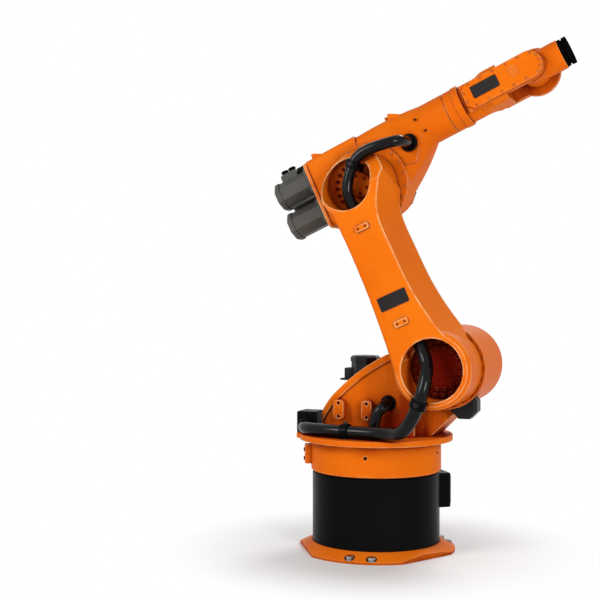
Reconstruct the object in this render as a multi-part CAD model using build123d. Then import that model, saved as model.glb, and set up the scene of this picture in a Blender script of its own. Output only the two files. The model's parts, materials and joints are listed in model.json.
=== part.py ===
from build123d import *
import math
import os

# Axis layout of the six-axis arm, millimetres and degrees
shoulder_offset = 350.0
shoulder_height = 815.0
link_length = 850.0
wrist_offset = 145.0
wrist_reach = 820.0
flange_reach = 170.0
link_lean = 23.5
arm_rise = 24.7

# Running gaps between bodies that move
seat_gap = 0.3
swing_gap = 6.0

# Foot plate and base sleeve
foot_radius = 286.0
foot_reach = 348.0
foot_thickness = 40.0
foot_rim = 10.0
foot_flat = 316.0
foot_ear_angle = -88.0
ear_count = 3
foot_bolt_angle = -83.0
foot_bolt_spread = 94.0
foot_bolt_reach = 321.0
foot_bolt_step = 3.0
foot_bolt_hole = 22.0
spot_radius = 23.0
spot_height = 10.0
sleeve_radius = 281.0
sleeve_height = 304.0
sleeve_rim = 4.0
slew_radius = 245.0
slew_height = 4.7
box_angle = 37.0
box_width = 150.0
box_reach = 326.0
box_height = 152.0
box_bottom = 177.0

# Turntable
skirt_radius = 287.0
skirt_height = 136.0
lip_radius = 338.0
lip_height = 25.0
ear_width = 130.0
ear_reach = 336.0
ear_shift = -60.0
cable_box_inset = 1.0
cable_box_length = 94.0
cable_box_width = 104.0
cable_box_height = 88.0
skirt_boss_angle = 205.0
skirt_boss_width = 46.0
skirt_boss_height = 84.0
skirt_boss_reach = 316.0
skirt_boss_bottom = 28.0
skirt_hole_radius = 8.0
skirt_hole_depth = 16.0
skirt_holes = ((-80.5, 84.0), (-4.0, 88.0))

# Column housing
cheek_wall = 26.0
cheek_rear = 235.0
cheek_round = 105.0
cheek_foot_height = 74.0
cheek_rim = 8.0
rim_depth = 24.0
rear_opening = 40.0
cheek_top_back = 265.0
cheek_top_rise = 45.0
cheek_bow_back = 421.0
cheek_bow_drop = 57.0
column_front = 268.0
web_near = -62.0
web_back = 200.0
web_drop = 135.0
web_foot_back = 290.0
barrel_radius = 172.0
barrel_far = 215.0
barrel_round = 22.0
cap_radius = 148.0
cap_thickness = 9.0
gear_ring_radius = 177.0
gear_ring_inner = 128.0
gear_ring_thickness = 6.0
boss_places = (-116.0, 12.0)
boss_width = 46.0
boss_height = 84.0
boss_bottom = 70.0
boss_depth = 28.0
boss_hole_pitch = 58.0
boss_hole_radius = 7.0
hose_hole_place = 100.0
hose_hole_rise = 145.0
hose_hole_radius = 30.0

# Motors
motor_flats = 124.0
motor_length = 178.0
plug_rise = 28.0
motor_cap = 26.0
column_motor_place = (-74.0, 70.0)
column_motor_length = 336.0
shoulder_motor_ahead = 80.0
shoulder_motor_drop = 160.0
shoulder_motor_near = -132.0
shoulder_motor_flats = 112.0
motor_bay_radius = 70.0
motor_shift = 65.0
elbow_motor_flats = 142.0
elbow_motor_length = 205.0

# Link arm casting
link_depth = 193.0
drum_radius = 163.0
drum_pocket = 130.0
drum_floor = 44.0
head_radius = 147.0
head_pocket = 116.0
pocket_shift = -42.0
pocket_rise = 12.0
head_floor = 52.0
waist_rear = 134.0
waist_front = 126.0
ridge_front = 44.0
ridge_lean = 46.0
ridge_turn = 140.0
channel_rear = 100.0
channel_front = 24.0
channel_wall = 22.0
channel_floor = 70.0
link_flange_radius = 150.0
elbow_flange_radius = 130.0
link_edge = 16.0
slope_start = 30.0
slope_depth = 165.0
head_shift = -16.0
drum_edge = 15.0
pad_shift = -40.0
low_pad = 228.0
high_pad = 194.0
pad_length = 64.0
pad_breadth = 27.0
pad_rise = 7.0
hub_radius = 54.0
hub_height = 26.0

# Arm housing
arm_half = 128.0
arm_top = 231.0
arm_belly = -148.0
arm_round = 52.0
elbow_step = 6.0
arm_bottom = -86.0
arm_rear = -225.0
elbow_radius = 172.0
elbow_depth = 64.0
far_elbow_radius = 130.0
tube_radius = 90.0
tube_start = 322.0
shoulder_along = 246.0
seam_along = 428.0
tube_end = 470.0
arm_end = 502.0
plate_thickness = 15.0
plate_top = 226.0
plate_bottom = -88.0
plate_overhang = 8.0
lug_places = (-222.0, 150.0)
lug_height = 34.0
lug_length = 54.0

# Wrist
root_radius = 84.0
root_length = 58.0
wrist_half_height = 80.0
wrist_half_width = 100.0
leg_inner = 70.0
leg_half_height = 60.0
swell_length = 60.0
wrist_corner = 38.0
crotch_gap = 130.0
far_leg_radius = 102.0
drive_cover_thickness = 12.0
drive_cover_start = 520.0
drive_cover_half = 58.0
neck_radius = 64.0
hub_swivel_radius = 66.0
swivel_face = 132.0
tool_radius = 60.0
tool_pcd = 100.0
tool_bolts = 6
tool_bolt_hole = 8.0
tool_bore = 63.0
tool_bore_depth = 8.0
tool_bolt_depth = 16.0

# Hoses and their clamps
hose_radius = 28.0
thin_hose_radius = 24.0
clamp_wall = 7.0
clamp_length = 34.0
clamp_standoff = 3.5
elbow_clamp_height = 74.0
socket_along = 238.0
socket_up = 82.0
socket_pad = 50.0
column_run = 130.0
shoulder_run = 173.0
drum_run = 118.0
elbow_run = 52.0
column_bend_radius = 75.0
shoulder_bend_radius = 110.0
link_bend_radius = 80.0
elbow_bend_radius = 55.0
short_bend_radius = 40.0

foot_top = foot_thickness
sleeve_top = foot_top + sleeve_height
turn_bottom = sleeve_top + slew_height + seat_gap
lip_bottom = turn_bottom + skirt_height
deck = lip_bottom + lip_height
link_frame = Pos(shoulder_offset, 0, shoulder_height) * Rot(0, -link_lean, 0)
elbow = link_frame * Pos(0, 0, link_length)
arm_frame = Pos(*elbow.position) * Rot(0, -arm_rise, 0)
wrist_axis = arm_frame * Pos(0, 0, wrist_offset)
motor_place = (shoulder_offset + shoulder_motor_ahead, shoulder_height - shoulder_motor_drop)
hose_hole = (hose_hole_place, deck + hose_hole_rise)
box_near = ear_shift - cable_box_width / 2
barrel_near = -arm_half - elbow_step
link_inner = barrel_near - 2 * gear_ring_thickness
link_outer = link_inner - link_depth
cheek_half = -link_inner - swing_gap
plate_half = arm_half + plate_overhang
link_flange_face = link_inner + gear_ring_thickness - seat_gap


def side_solid(sketch, y_near, y_far):
    """A prism from a side view drawn in X and Z."""
    return extrude(Plane.XZ.offset(-y_far) * sketch, y_far - y_near)


def upright_cylinder(radius, bottom, top):
    return Pos(0, 0, (bottom + top) / 2) * Cylinder(radius, top - bottom)


def cross_cylinder(x, z, radius, y_near, y_far):
    """A cylinder lying across, along Y."""
    return Pos(x, (y_near + y_far) / 2, z) * Rot(90, 0, 0) * Cylinder(radius, y_far - y_near)


def along_cylinder(x_from, x_to, radius, z=0.0):
    """A cylinder lying along X."""
    return Pos((x_from + x_to) / 2, 0, z) * Rot(0, 90, 0) * Cylinder(radius, x_to - x_from)


def span_box(x_from, x_to, y_from, y_to, z_from, z_to):
    """A box between two corners."""
    middle = Pos((x_from + x_to) / 2, (y_from + y_to) / 2, (z_from + z_to) / 2)
    return middle * Box(x_to - x_from, y_to - y_from, z_to - z_from)


def octagon(flats):
    return Rot(0, 0, 22.5) * RegularPolygon(flats / 2, 8, major_radius=False)


def motor(flats, length):
    """An eight-sided servo motor along +Z with a square flange and a cap, foot at the origin."""
    flange = extrude(RectangleRounded(flats, flats, flats * 0.12), motor_cap / 2)
    body = Pos(0, 0, motor_cap / 2) * extrude(octagon(flats * 0.94), length - 1.5 * motor_cap)
    cap = Pos(0, 0, length - motor_cap) * extrude(octagon(flats), motor_cap)
    cap = chamfer(cap.faces().sort_by(Axis.Z)[-1].edges(), motor_cap * 0.3)
    reach = flats / 2 + plug_rise
    plug = Pos(reach / 2, 0, length * 0.52) * Box(reach, flats * 0.42, flats * 0.62)
    plug = chamfer(plug.faces().sort_by(Axis.X)[-1].edges(), plug_rise * 0.25)
    return flange + body + cap + plug


def tube_along(points, radius, bend):
    """A round hose along straight runs joined by tangent bends."""
    path = FilletPolyline(*points, radius=bend)
    return sweep(Plane(path @ 0, z_dir=path % 0) * Circle(radius), path)


def bolt_spots():
    """The pair of bolt places on every ear of the foot."""
    for index in range(ear_count):
        for side in (-1, 1):
            reach = foot_bolt_reach + side * foot_bolt_step / 2
            turn = Rot(0, 0, foot_bolt_angle + index * 360 / ear_count)
            yield turn * Pos(reach, side * foot_bolt_spread / 2, 0)


def foot_plate():
    half = Polyline(
        (0, 0),
        (foot_reach, 0),
        (foot_reach, foot_rim),
        (foot_radius, foot_thickness),
        (0, foot_thickness),
        close=True,
    )
    plate = revolve(Plane.XZ * make_face(half), Axis.Z)
    side_cut = Pos(foot_flat + foot_reach, 0, 0) * Box(2 * foot_reach, 2 * foot_reach, 3 * foot_thickness)
    for index in range(ear_count):
        plate -= Rot(0, 0, foot_ear_angle + (index + 0.5) * 360 / ear_count) * side_cut
    hole = Cylinder(foot_bolt_hole / 2, 3 * foot_thickness)
    spot_face = Pos(0, 0, spot_height + foot_thickness) * Cylinder(spot_radius, 2 * foot_thickness)
    for spot in bolt_spots():
        plate -= spot * spot_face
        plate -= spot * hole
    return plate


def base_sleeve():
    sleeve = upright_cylinder(sleeve_radius, foot_top, sleeve_top)
    return chamfer(sleeve.edges().group_by(Axis.Z)[-1], sleeve_rim)


def slewing_ring():
    return upright_cylinder(slew_radius, sleeve_top, sleeve_top + slew_height)


def connection_box():
    box = span_box(0, box_reach, -box_width / 2, box_width / 2, box_bottom, box_bottom + box_height)
    box = chamfer(box.faces().sort_by(Axis.X)[-1].edges(), 6)
    box = Rot(0, 0, box_angle) * box
    return box - upright_cylinder(sleeve_radius, 0, sleeve_top)


def turntable():
    skirt = upright_cylinder(skirt_radius, turn_bottom, lip_bottom)
    skirt = chamfer(skirt.edges().group_by(Axis.Z)[0], 5)
    ear = Pos(-ear_reach / 2, ear_shift) * Rectangle(ear_reach, ear_width)
    ear = fillet(ear.vertices().group_by(Axis.X)[0], 20)
    lip = Pos(0, 0, lip_bottom) * extrude(Circle(lip_radius) + ear, lip_height)
    lip = fillet(lip.edges().group_by(Axis.Z)[-1], 6)
    boss = span_box(
        skirt_radius - 20, skirt_boss_reach, -skirt_boss_width / 2, skirt_boss_width / 2,
        turn_bottom + skirt_boss_bottom, turn_bottom + skirt_boss_bottom + skirt_boss_height,
    )
    boss = fillet(boss.faces().sort_by(Axis.X)[-1].edges(), 5)
    body = skirt + lip + Rot(0, 0, skirt_boss_angle) * boss
    drill = Rot(0, 90, 0) * Cylinder(skirt_hole_radius, 2 * skirt_hole_depth)
    for angle, height in skirt_holes:
        body -= Rot(0, 0, angle) * Pos(skirt_radius, 0, turn_bottom + height) * drill
    for step in (-1, 1):
        height = turn_bottom + skirt_boss_bottom + skirt_boss_height / 2 + step * skirt_boss_height / 4
        body -= Rot(0, 0, skirt_boss_angle) * Pos(skirt_boss_reach, 0, height) * drill
    return body


def column_housing():
    foot_line = deck + cheek_foot_height
    crest = (shoulder_offset - cheek_top_back, shoulder_height + cheek_top_rise)
    bow = (shoulder_offset - cheek_bow_back, shoulder_height - cheek_bow_drop)
    slope = ThreePointArc((-cheek_rear, foot_line), bow, crest)
    rest = Polyline(
        crest,
        (shoulder_offset - barrel_radius * 0.6, shoulder_height + barrel_radius * 0.62),
        (shoulder_offset, shoulder_height),
        (column_front, deck),
        (-cheek_rear, deck),
        (-cheek_rear, foot_line),
    )
    side = make_face(slope + rest)
    wide = 2 * cheek_half
    tall = 2 * shoulder_height
    length = shoulder_offset + cheek_rear
    plan = Pos(length / 2 - cheek_rear, 0) * Rectangle(length, 2 * cheek_half)
    plan = fillet(plan.vertices().group_by(Axis.X)[0], cheek_round)
    hollow = offset(plan, -cheek_wall)
    wall = Pos(0, 0, deck) * extrude(offset(plan, -cheek_rim) - hollow, tall - deck)
    rim = Pos(0, 0, deck) * extrude(plan - hollow, tall - deck)
    band = side - Pos(rim_depth * 0.75, -rim_depth) * side
    cheeks = (wall & side_solid(side, -wide, wide)) + (rim & side_solid(band, -wide, wide))
    cheeks -= span_box(-2 * cheek_rear, rear_opening, cheek_half - 2 * cheek_round, wide, deck - 1, tall)
    cheeks -= span_box(column_front - 2 * cheek_wall, 2 * length, -wide, wide, deck - 1, shoulder_height)
    web = Polyline(
        (shoulder_offset - web_foot_back, deck),
        (column_front, deck),
        (shoulder_offset + barrel_radius * 0.4, shoulder_height - barrel_radius * 0.9),
        (shoulder_offset, shoulder_height),
        (shoulder_offset - barrel_radius * 0.97, shoulder_height - barrel_radius * 0.11),
        (shoulder_offset - web_back, shoulder_height - web_drop),
        close=True,
    )
    web = side_solid(make_face(web), web_near, cheek_half)
    barrel = cross_cylinder(shoulder_offset, shoulder_height, barrel_radius, barrel_near, barrel_far)
    barrel = fillet(barrel.edges().sort_by(Axis.Y)[-1], barrel_round)
    cheeks -= cross_cylinder(shoulder_offset, shoulder_height, gear_ring_radius + 2, -wide, barrel_near)
    housing = cheeks + web + barrel
    housing -= cross_cylinder(*motor_place, motor_bay_radius, -wide, web_near)
    for place in boss_places:
        middle = deck + boss_bottom + boss_height / 2
        pad = Pos(place, -cheek_half, middle) * Box(boss_width, 2 * boss_depth, boss_height)
        pad = fillet(pad.edges().filter_by(Axis.Y), boss_width * 0.3)
        for step in (-1, 1):
            height = middle + step * boss_hole_pitch / 2
            pad -= cross_cylinder(place, height, boss_hole_radius, -wide, -cheek_half - 2)
        housing += pad
    hole = cross_cylinder(*hose_hole, hose_hole_radius, -2 * cheek_half, -cheek_half + cheek_wall + 10)
    return housing - hole


def shoulder_cap():
    cap_face = barrel_far + cap_thickness
    cap = cross_cylinder(shoulder_offset, shoulder_height, cap_radius, barrel_far, cap_face)
    return chamfer(cap.edges().sort_by(Axis.Y)[-1], 3)


def gear_ring(inner, outer, y_near):
    """A flat bolted ring round a cross axis."""
    ring = cross_cylinder(0, 0, outer, y_near, y_near + gear_ring_thickness)
    return ring - cross_cylinder(0, 0, inner, y_near - 1, y_near + gear_ring_thickness + 1)


def shoulder_gear_ring():
    y_near = barrel_near - gear_ring_thickness
    return Pos(shoulder_offset, 0, shoulder_height) * gear_ring(gear_ring_inner, gear_ring_radius, y_near)


def column_motor():
    return Pos(*column_motor_place, deck) * Rot(0, 0, 180) * motor(motor_flats, column_motor_length)


def shoulder_motor():
    length = web_near - shoulder_motor_near
    body = extrude(octagon(shoulder_motor_flats), length)
    body = chamfer(body.faces().sort_by(Axis.Z)[-1].edges(), 10)
    return Pos(motor_place[0], web_near, motor_place[1]) * Rot(90, 0, 0) * body


def cable_box():
    rear = cable_box_inset - ear_reach
    far = box_near + cable_box_width
    box = span_box(rear, rear + cable_box_length, box_near, far, deck, deck + cable_box_height)
    return chamfer(box.edges().filter_by(Axis.Z), 5)


def link_outline():
    """Side outline of the link's waist and head."""
    rear_foot = (-drum_radius + 8, 30)
    rear_head = (-head_radius, link_length - 40)
    front_head = (waist_front, link_length + 20)
    front_foot = (drum_radius - 14, 30)
    rear = ThreePointArc(rear_foot, (-waist_rear, link_length * 0.68), rear_head)
    front = ThreePointArc(front_head, (waist_front, link_length * 0.6), front_foot)
    waist = make_face(rear + Line(rear_head, front_head) + front + Line(front_foot, rear_foot))
    return waist + Pos(head_shift, link_length) * Circle(head_radius)


def ridge_cut():
    """The oblique front face, from the ridge on the near face out to the front edge."""
    top = link_length + 2 * head_radius
    far = 4 * head_radius
    ridge = Spline(
        (drum_radius, 0),
        (drum_radius - 45, link_length * 0.09),
        (ridge_front + 31, link_length * 0.25),
        (ridge_front + 4, link_length * 0.46),
        (ridge_front - 2, link_length * 0.64),
        (ridge_front + 8, link_length - ridge_turn),
        (ridge_front + 58, link_length - 43),
        (ridge_front + 96, link_length + 40),
        (ridge_front + 110, top),
    )
    close = Polyline(ridge @ 1, (far, top), (far, 0), ridge @ 0)
    outline = Plane.XZ.offset(-link_outer) * make_face(ridge + close)
    depth = link_inner - link_outer
    way = Vector(ridge_lean, depth, 0)
    past = Pos(-ridge_lean / depth, -1, 0)
    return past * extrude(outline, way.length + 4, dir=way)


def head_slope_cut():
    """The head's rim falls away towards the arm so that the hose can leave over it."""
    top = link_length + head_radius + 40
    line = Polyline(
        (link_outer, link_length - slope_start),
        (link_outer + slope_depth, top),
        (link_outer - 10, top),
        (link_outer - 10, link_length - slope_start),
        close=True,
    )
    return extrude(Plane.YZ.offset(-3 * head_radius) * make_face(line), 6 * head_radius)


def link_arm():
    body = side_solid(link_outline(), link_outer, link_inner)
    body -= ridge_cut()
    body -= head_slope_cut()
    near_edges = body.faces().sort_by(Axis.Y)[0].edges().filter_by(GeomType.CIRCLE)
    body = fillet(near_edges.sort_by(SortBy.LENGTH)[-1], link_edge)
    drum = cross_cylinder(0, 0, drum_radius, link_outer, link_inner)
    body += chamfer(drum.edges().sort_by(Axis.Y)[0], drum_edge)
    for along in (low_pad, link_length - high_pad):
        pad = Pos(pad_shift, link_outer, along) * Box(pad_length, 2 * pad_rise, pad_breadth)
        body += fillet(pad.edges().filter_by(Axis.Y), pad_breadth / 3)
    body -= cross_cylinder(0, 0, drum_pocket, link_outer - 1, link_inner - drum_floor)
    pocket_place = (pocket_shift, link_length + pocket_rise)
    body -= cross_cylinder(*pocket_place, head_pocket, link_outer - 1, link_inner - head_floor)
    channel_near = link_outer + channel_wall
    body -= span_box(-channel_rear, channel_front, channel_near, link_inner - channel_floor, 0, link_length)
    return link_frame * body


def shoulder_gear_flange():
    return link_frame * cross_cylinder(0, 0, link_flange_radius, link_inner, link_flange_face)


def elbow_gear_flange():
    return link_frame * cross_cylinder(0, link_length, elbow_flange_radius, link_inner, link_flange_face)


def elbow_hub_cover():
    floor = link_inner - head_floor
    cover = cross_cylinder(head_shift, link_length, hub_radius, floor - hub_height, floor)
    return link_frame * fillet(cover.edges().sort_by(Axis.Y)[0], 8)


def arm_section(along, half_width, bottom, top, corner):
    """A rounded cross-section of the arm, set across it."""
    section = RectangleRounded(2 * half_width, top - bottom, corner)
    return Plane.YZ.offset(along) * Pos(0, (top + bottom) / 2) * section


def arm_housing():
    block = span_box(arm_rear, 20, -arm_half, arm_half, arm_bottom, arm_top)
    block = fillet(block.edges().filter_by(Axis.X), 28)
    barrel = cross_cylinder(0, 0, elbow_radius, barrel_near, barrel_near + elbow_depth)
    barrel += cross_cylinder(0, 0, far_elbow_radius, barrel_near + elbow_depth - 5, arm_half + elbow_step)
    tube_bottom = wrist_offset - tube_radius
    tube_top = wrist_offset + tube_radius
    taper = loft([
        arm_section(-12, arm_half - 5, arm_belly, arm_top - 5, arm_round),
        arm_section(shoulder_along, arm_half - 16, tube_bottom - 56, tube_top - 1, 74),
        arm_section(tube_start, tube_radius - 2, tube_bottom + 2, tube_top - 2, tube_radius - 8),
    ])
    tube = along_cylinder(tube_start - 25, tube_end, tube_radius, wrist_offset)
    seam = along_cylinder(seam_along - 1.5, seam_along + 1.5, tube_radius + 5, wrist_offset)
    tube -= seam - along_cylinder(seam_along - 5, seam_along + 5, tube_radius - 3, wrist_offset)
    housing = block + barrel + taper + tube
    for place in lug_places:
        fin = Polyline(
            (place, arm_top - 12),
            (place + 4, arm_top + lug_height),
            (place + 22, arm_top + lug_height - 4),
            (place + lug_length, arm_top - 12),
            close=True,
        )
        housing += side_solid(make_face(fin), -11, 11)
    pad = Polyline(
        (socket_along - 110, socket_up - 15),
        (socket_along - 40, socket_up + 40),
        (socket_along + 32, socket_up + 34),
        (socket_along + 32, socket_up - 34),
        (socket_along - 8, socket_up - 86),
        (socket_along - 96, socket_up - 62),
        close=True,
    )
    pad_face = fillet(make_face(pad).vertices(), 16)
    housing += side_solid(pad_face, -arm_half, -arm_half + socket_pad)
    return arm_frame * housing


def arm_front_ring():
    ring = along_cylinder(tube_end, arm_end, tube_radius + 3)
    return wrist_axis * chamfer(ring.edges().sort_by(Axis.X)[-1], 3)


def elbow_gear_ring():
    return arm_frame * gear_ring(gear_ring_inner - 26, elbow_radius + 6, barrel_near - gear_ring_thickness)


def motor_plate():
    plate = span_box(arm_rear - plate_thickness, arm_rear, -plate_half, plate_half, plate_bottom, plate_top)
    return arm_frame * fillet(plate.edges().filter_by(Axis.X), 30)


def wrist_motor(y, z, turn=0):
    rear = arm_rear - plate_thickness
    return arm_frame * Pos(rear, y, z) * Rot(0, -90, 0) * Rot(0, 0, turn) * motor(motor_flats, motor_length)


def elbow_motor():
    near = arm_half + elbow_step
    return arm_frame * Pos(0, near, 0) * Rot(-90, 0, 0) * motor(elbow_motor_flats, elbow_motor_length)


def leg_outline(start, half_height, radius):
    """Side view of a fork leg: a bar that ends in a round eye on the bend axis."""
    bar = Pos((start + wrist_reach) / 2, 0) * Rectangle(wrist_reach - start, 2 * half_height)
    return bar + Pos(wrist_reach, 0) * Circle(radius)


def wrist_housing():
    start = arm_end + seat_gap
    swell_start = start + root_length
    block_start = swell_start + swell_length
    root = along_cylinder(start, swell_start, root_radius)
    section = RectangleRounded(2 * wrist_half_width, 2 * wrist_half_height, wrist_corner)
    swell_root = Plane.YZ.offset(swell_start) * Circle(root_radius)
    swell = loft([swell_root, Plane.YZ.offset(block_start) * section])
    block = extrude(Plane.YZ.offset(block_start) * section, wrist_reach - crotch_gap - block_start)
    near = leg_outline(drive_cover_start, leg_half_height, leg_half_height)
    near = side_solid(near, -wrist_half_width, -leg_inner)
    far = leg_outline(block_start + 20, wrist_half_height - 4, far_leg_radius)
    far = side_solid(far, leg_inner, wrist_half_width)
    far = fillet(far.faces().sort_by(Axis.Y)[-1].outer_wire().edges().sort_by(Axis.X)[-1], 14)
    return wrist_axis * (root + swell + block + near + far)


def wrist_drive_cover():
    nose = Pos(wrist_reach, 0) * Circle(drive_cover_half)
    plate = Polyline(
        (drive_cover_start, -drive_cover_half + 26),
        (drive_cover_start, drive_cover_half - 26),
        (drive_cover_start + 26, drive_cover_half),
        (wrist_reach, drive_cover_half),
        (wrist_reach, -drive_cover_half),
        (drive_cover_start + 26, -drive_cover_half),
        close=True,
    )
    outer = -wrist_half_width - drive_cover_thickness
    cover = side_solid(nose + make_face(plate), outer, -wrist_half_width)
    return wrist_axis * chamfer(cover.faces().sort_by(Axis.Y)[0].outer_wire().edges(), 4)


def wrist_far_cover():
    cover = cross_cylinder(wrist_reach, 0, far_leg_radius - 18, wrist_half_width, wrist_half_width + 10)
    return wrist_axis * chamfer(cover.edges().sort_by(Axis.Y)[-1], 3)


def wrist_swivel():
    hub = cross_cylinder(wrist_reach, 0, hub_swivel_radius, -leg_inner + seat_gap, leg_inner - seat_gap)
    neck = along_cylinder(wrist_reach, wrist_reach + swivel_face, neck_radius)
    return wrist_axis * (hub + neck)


def tool_flange():
    start = wrist_reach + swivel_face + seat_gap
    face = wrist_reach + flange_reach
    body = along_cylinder(start, face, tool_radius)
    groove = along_cylinder(start + 12, start + 20, tool_radius + 5)
    body -= groove - along_cylinder(start + 10, start + 22, tool_radius - 7)
    body -= along_cylinder(face - tool_bore_depth, face + 10, tool_bore / 2)
    for index in range(tool_bolts):
        turn = math.radians(index * 360 / tool_bolts)
        y = tool_pcd / 2 * math.cos(turn)
        z = tool_pcd / 2 * math.sin(turn)
        body -= Pos(0, y, z) * along_cylinder(face - tool_bolt_depth, face + 10, tool_bolt_hole / 2)
    return wrist_axis * body


def hose_socket():
    mouth = link_inner + swing_gap
    sleeve = cross_cylinder(socket_along, socket_up, thin_hose_radius + clamp_wall, mouth, -arm_half)
    return arm_frame * sleeve


def hose_clamp(place, along, seat_way, seat_distance, bore):
    """A clamp ring with a foot that reaches the face it is bolted to."""
    ring = Cylinder(bore + clamp_wall, clamp_length)
    foot = Pos(seat_distance / 2, 0, 0) * Box(seat_distance, 2 * bore, clamp_length)
    body = ring + foot - Cylinder(bore, 2 * clamp_length)
    span = 4 * (seat_distance + bore)
    body &= Pos(seat_distance - span / 2, 0, 0) * Box(span, span, span)
    return Plane(place, x_dir=seat_way, z_dir=along) * body


def on_run(place, way, distance):
    """A point on the straight run through a clamp."""
    return Vector(*place) + Vector(*way).normalized() * distance


def on_link(across, y, along):
    return (link_frame * Pos(across, y, along)).position


def on_arm(along, y, up):
    return (arm_frame * Pos(along, y, up)).position


# Routes of the hoses, chosen by hand
deck_line = deck + hose_radius + seat_gap
drum_line = link_outer - hose_radius - clamp_standoff
pocket_line = link_inner - head_floor - elbow_clamp_height
drum_rim = (drum_pocket + drum_radius) / 2
link_way = on_link(1, 0, 1) - on_link(0, 0, 0)
deck_way = (1, -0.12, 0)
deck_clamp_place = (-50, -258, deck_line)
drum_clamp_place = on_link(-0.672 * drum_rim, drum_line, -0.741 * drum_rim)
elbow_clamp_place = on_link(8, pocket_line, link_length + 78)
socket_mouth = on_arm(socket_along, link_inner + swing_gap, socket_up)
channel_low = on_link(-8, pocket_line, 80)
channel_high = on_link(-66, pocket_line, link_length - 70)
hose_join = (channel_low + channel_high) * 0.5
box_middle = cable_box_inset - ear_reach + cable_box_length / 2
short_bend = (hose_hole_place - 48, -cheek_half - 48)
column_route = [
    (box_middle, box_near - seat_gap, deck_line),
    (box_middle, box_near - 55, deck_line),
    on_run(deck_clamp_place, deck_way, -column_run),
    deck_clamp_place,
]
shoulder_route = [
    deck_clamp_place,
    on_run(deck_clamp_place, deck_way, shoulder_run),
    on_run(drum_clamp_place, link_way, -drum_run),
    drum_clamp_place,
]
drum_route = [drum_clamp_place, on_run(drum_clamp_place, link_way, 95), channel_low, hose_join]
link_route = [hose_join, channel_high, on_run(elbow_clamp_place, link_way, -92), elbow_clamp_place]
elbow_route = [
    elbow_clamp_place,
    on_run(elbow_clamp_place, link_way, elbow_run),
    on_arm(socket_along, pocket_line, socket_up),
    socket_mouth,
]
short_route = [
    (hose_hole_place, -cheek_half + 22, hose_hole[1]),
    (hose_hole_place, -cheek_half - 36, hose_hole[1]),
    (*short_bend, hose_hole[1] - 59),
    (*short_bend, deck + seat_gap),
]

sub_parts = {
    "foot_plate": foot_plate(),
    "base_sleeve": base_sleeve(),
    "slewing_ring": slewing_ring(),
    "connection_box": connection_box(),
    "turntable": turntable(),
    "column_housing": column_housing(),
    "shoulder_cap": shoulder_cap(),
    "shoulder_gear_ring": shoulder_gear_ring(),
    "column_motor": column_motor(),
    "shoulder_motor": shoulder_motor(),
    "cable_box": cable_box(),
    "link_arm": link_arm(),
    "shoulder_gear_flange": shoulder_gear_flange(),
    "elbow_gear_flange": elbow_gear_flange(),
    "elbow_hub_cover": elbow_hub_cover(),
    "arm_housing": arm_housing(),
    "arm_front_ring": arm_front_ring(),
    "elbow_gear_ring": elbow_gear_ring(),
    "motor_plate": motor_plate(),
    "wrist_motor_near_upper": wrist_motor(-motor_shift, wrist_offset),
    "wrist_motor_near_lower": wrist_motor(-motor_shift, 0, 90),
    "wrist_motor_far_upper": wrist_motor(motor_shift, wrist_offset),
    "elbow_motor": elbow_motor(),
    "wrist_housing": wrist_housing(),
    "wrist_drive_cover": wrist_drive_cover(),
    "wrist_far_cover": wrist_far_cover(),
    "wrist_swivel": wrist_swivel(),
    "tool_flange": tool_flange(),
    "hose_socket": hose_socket(),
    "deck_clamp": hose_clamp(deck_clamp_place, deck_way, (0, 0, -1), deck_line - deck, hose_radius),
    "drum_clamp": hose_clamp(drum_clamp_place, link_way, (0, 1, 0), link_outer - drum_line, hose_radius),
    "elbow_clamp": hose_clamp(elbow_clamp_place, link_way, (0, 1, 0), elbow_clamp_height, thin_hose_radius),
    "column_hose": tube_along(column_route, hose_radius, column_bend_radius),
    "shoulder_hose": tube_along(shoulder_route, hose_radius, shoulder_bend_radius),
    "drum_hose": tube_along(drum_route, hose_radius, link_bend_radius),
    "link_hose": tube_along(link_route, thin_hose_radius, link_bend_radius),
    "elbow_hose": tube_along(elbow_route, thin_hose_radius, elbow_bend_radius),
    "short_hose": tube_along(short_route, thin_hose_radius, short_bend_radius),
}

os.makedirs("parts", exist_ok=True)
for name, solid in sub_parts.items():
    export_step(solid, f"parts/{name}.step")
    print(name, [round(v) for v in solid.bounding_box().size], "solids", len(solid.solids()))
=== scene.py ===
import json
import math
import bmesh
import bpy
from mathutils import Matrix, Vector


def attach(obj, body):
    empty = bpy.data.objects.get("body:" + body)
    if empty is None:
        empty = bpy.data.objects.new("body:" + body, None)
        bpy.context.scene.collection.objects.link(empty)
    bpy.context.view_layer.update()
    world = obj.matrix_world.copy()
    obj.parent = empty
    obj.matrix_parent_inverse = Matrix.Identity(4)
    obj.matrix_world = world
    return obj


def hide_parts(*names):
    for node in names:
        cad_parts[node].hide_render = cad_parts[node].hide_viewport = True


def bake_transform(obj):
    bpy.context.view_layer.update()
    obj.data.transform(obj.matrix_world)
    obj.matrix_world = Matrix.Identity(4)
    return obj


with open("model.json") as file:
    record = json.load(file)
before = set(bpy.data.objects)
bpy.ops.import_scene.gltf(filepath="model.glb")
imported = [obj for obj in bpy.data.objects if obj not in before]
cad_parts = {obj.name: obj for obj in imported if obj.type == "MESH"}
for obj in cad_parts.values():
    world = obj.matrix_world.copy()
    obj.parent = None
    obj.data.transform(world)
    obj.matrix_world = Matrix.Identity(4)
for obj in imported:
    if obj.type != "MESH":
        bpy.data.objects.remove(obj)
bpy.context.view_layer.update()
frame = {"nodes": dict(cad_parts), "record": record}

print("frame loaded:", len(frame["nodes"]), "nodes")

# axes of the arm in metres and degrees, as the solids have them
robotAxes = {
    "shoulder": (0.350, 0.0, 0.815),
    "linkLength": 0.850,
    "linkLean": 23.5,
    "armRise": 24.7,
    "wristOffset": 0.145,
    "wristReach": 0.820,
}


def leanFrame(place, lean):
    return Matrix.Translation(place) @ Matrix.Rotation(math.radians(-lean), 4, "Y")


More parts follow.
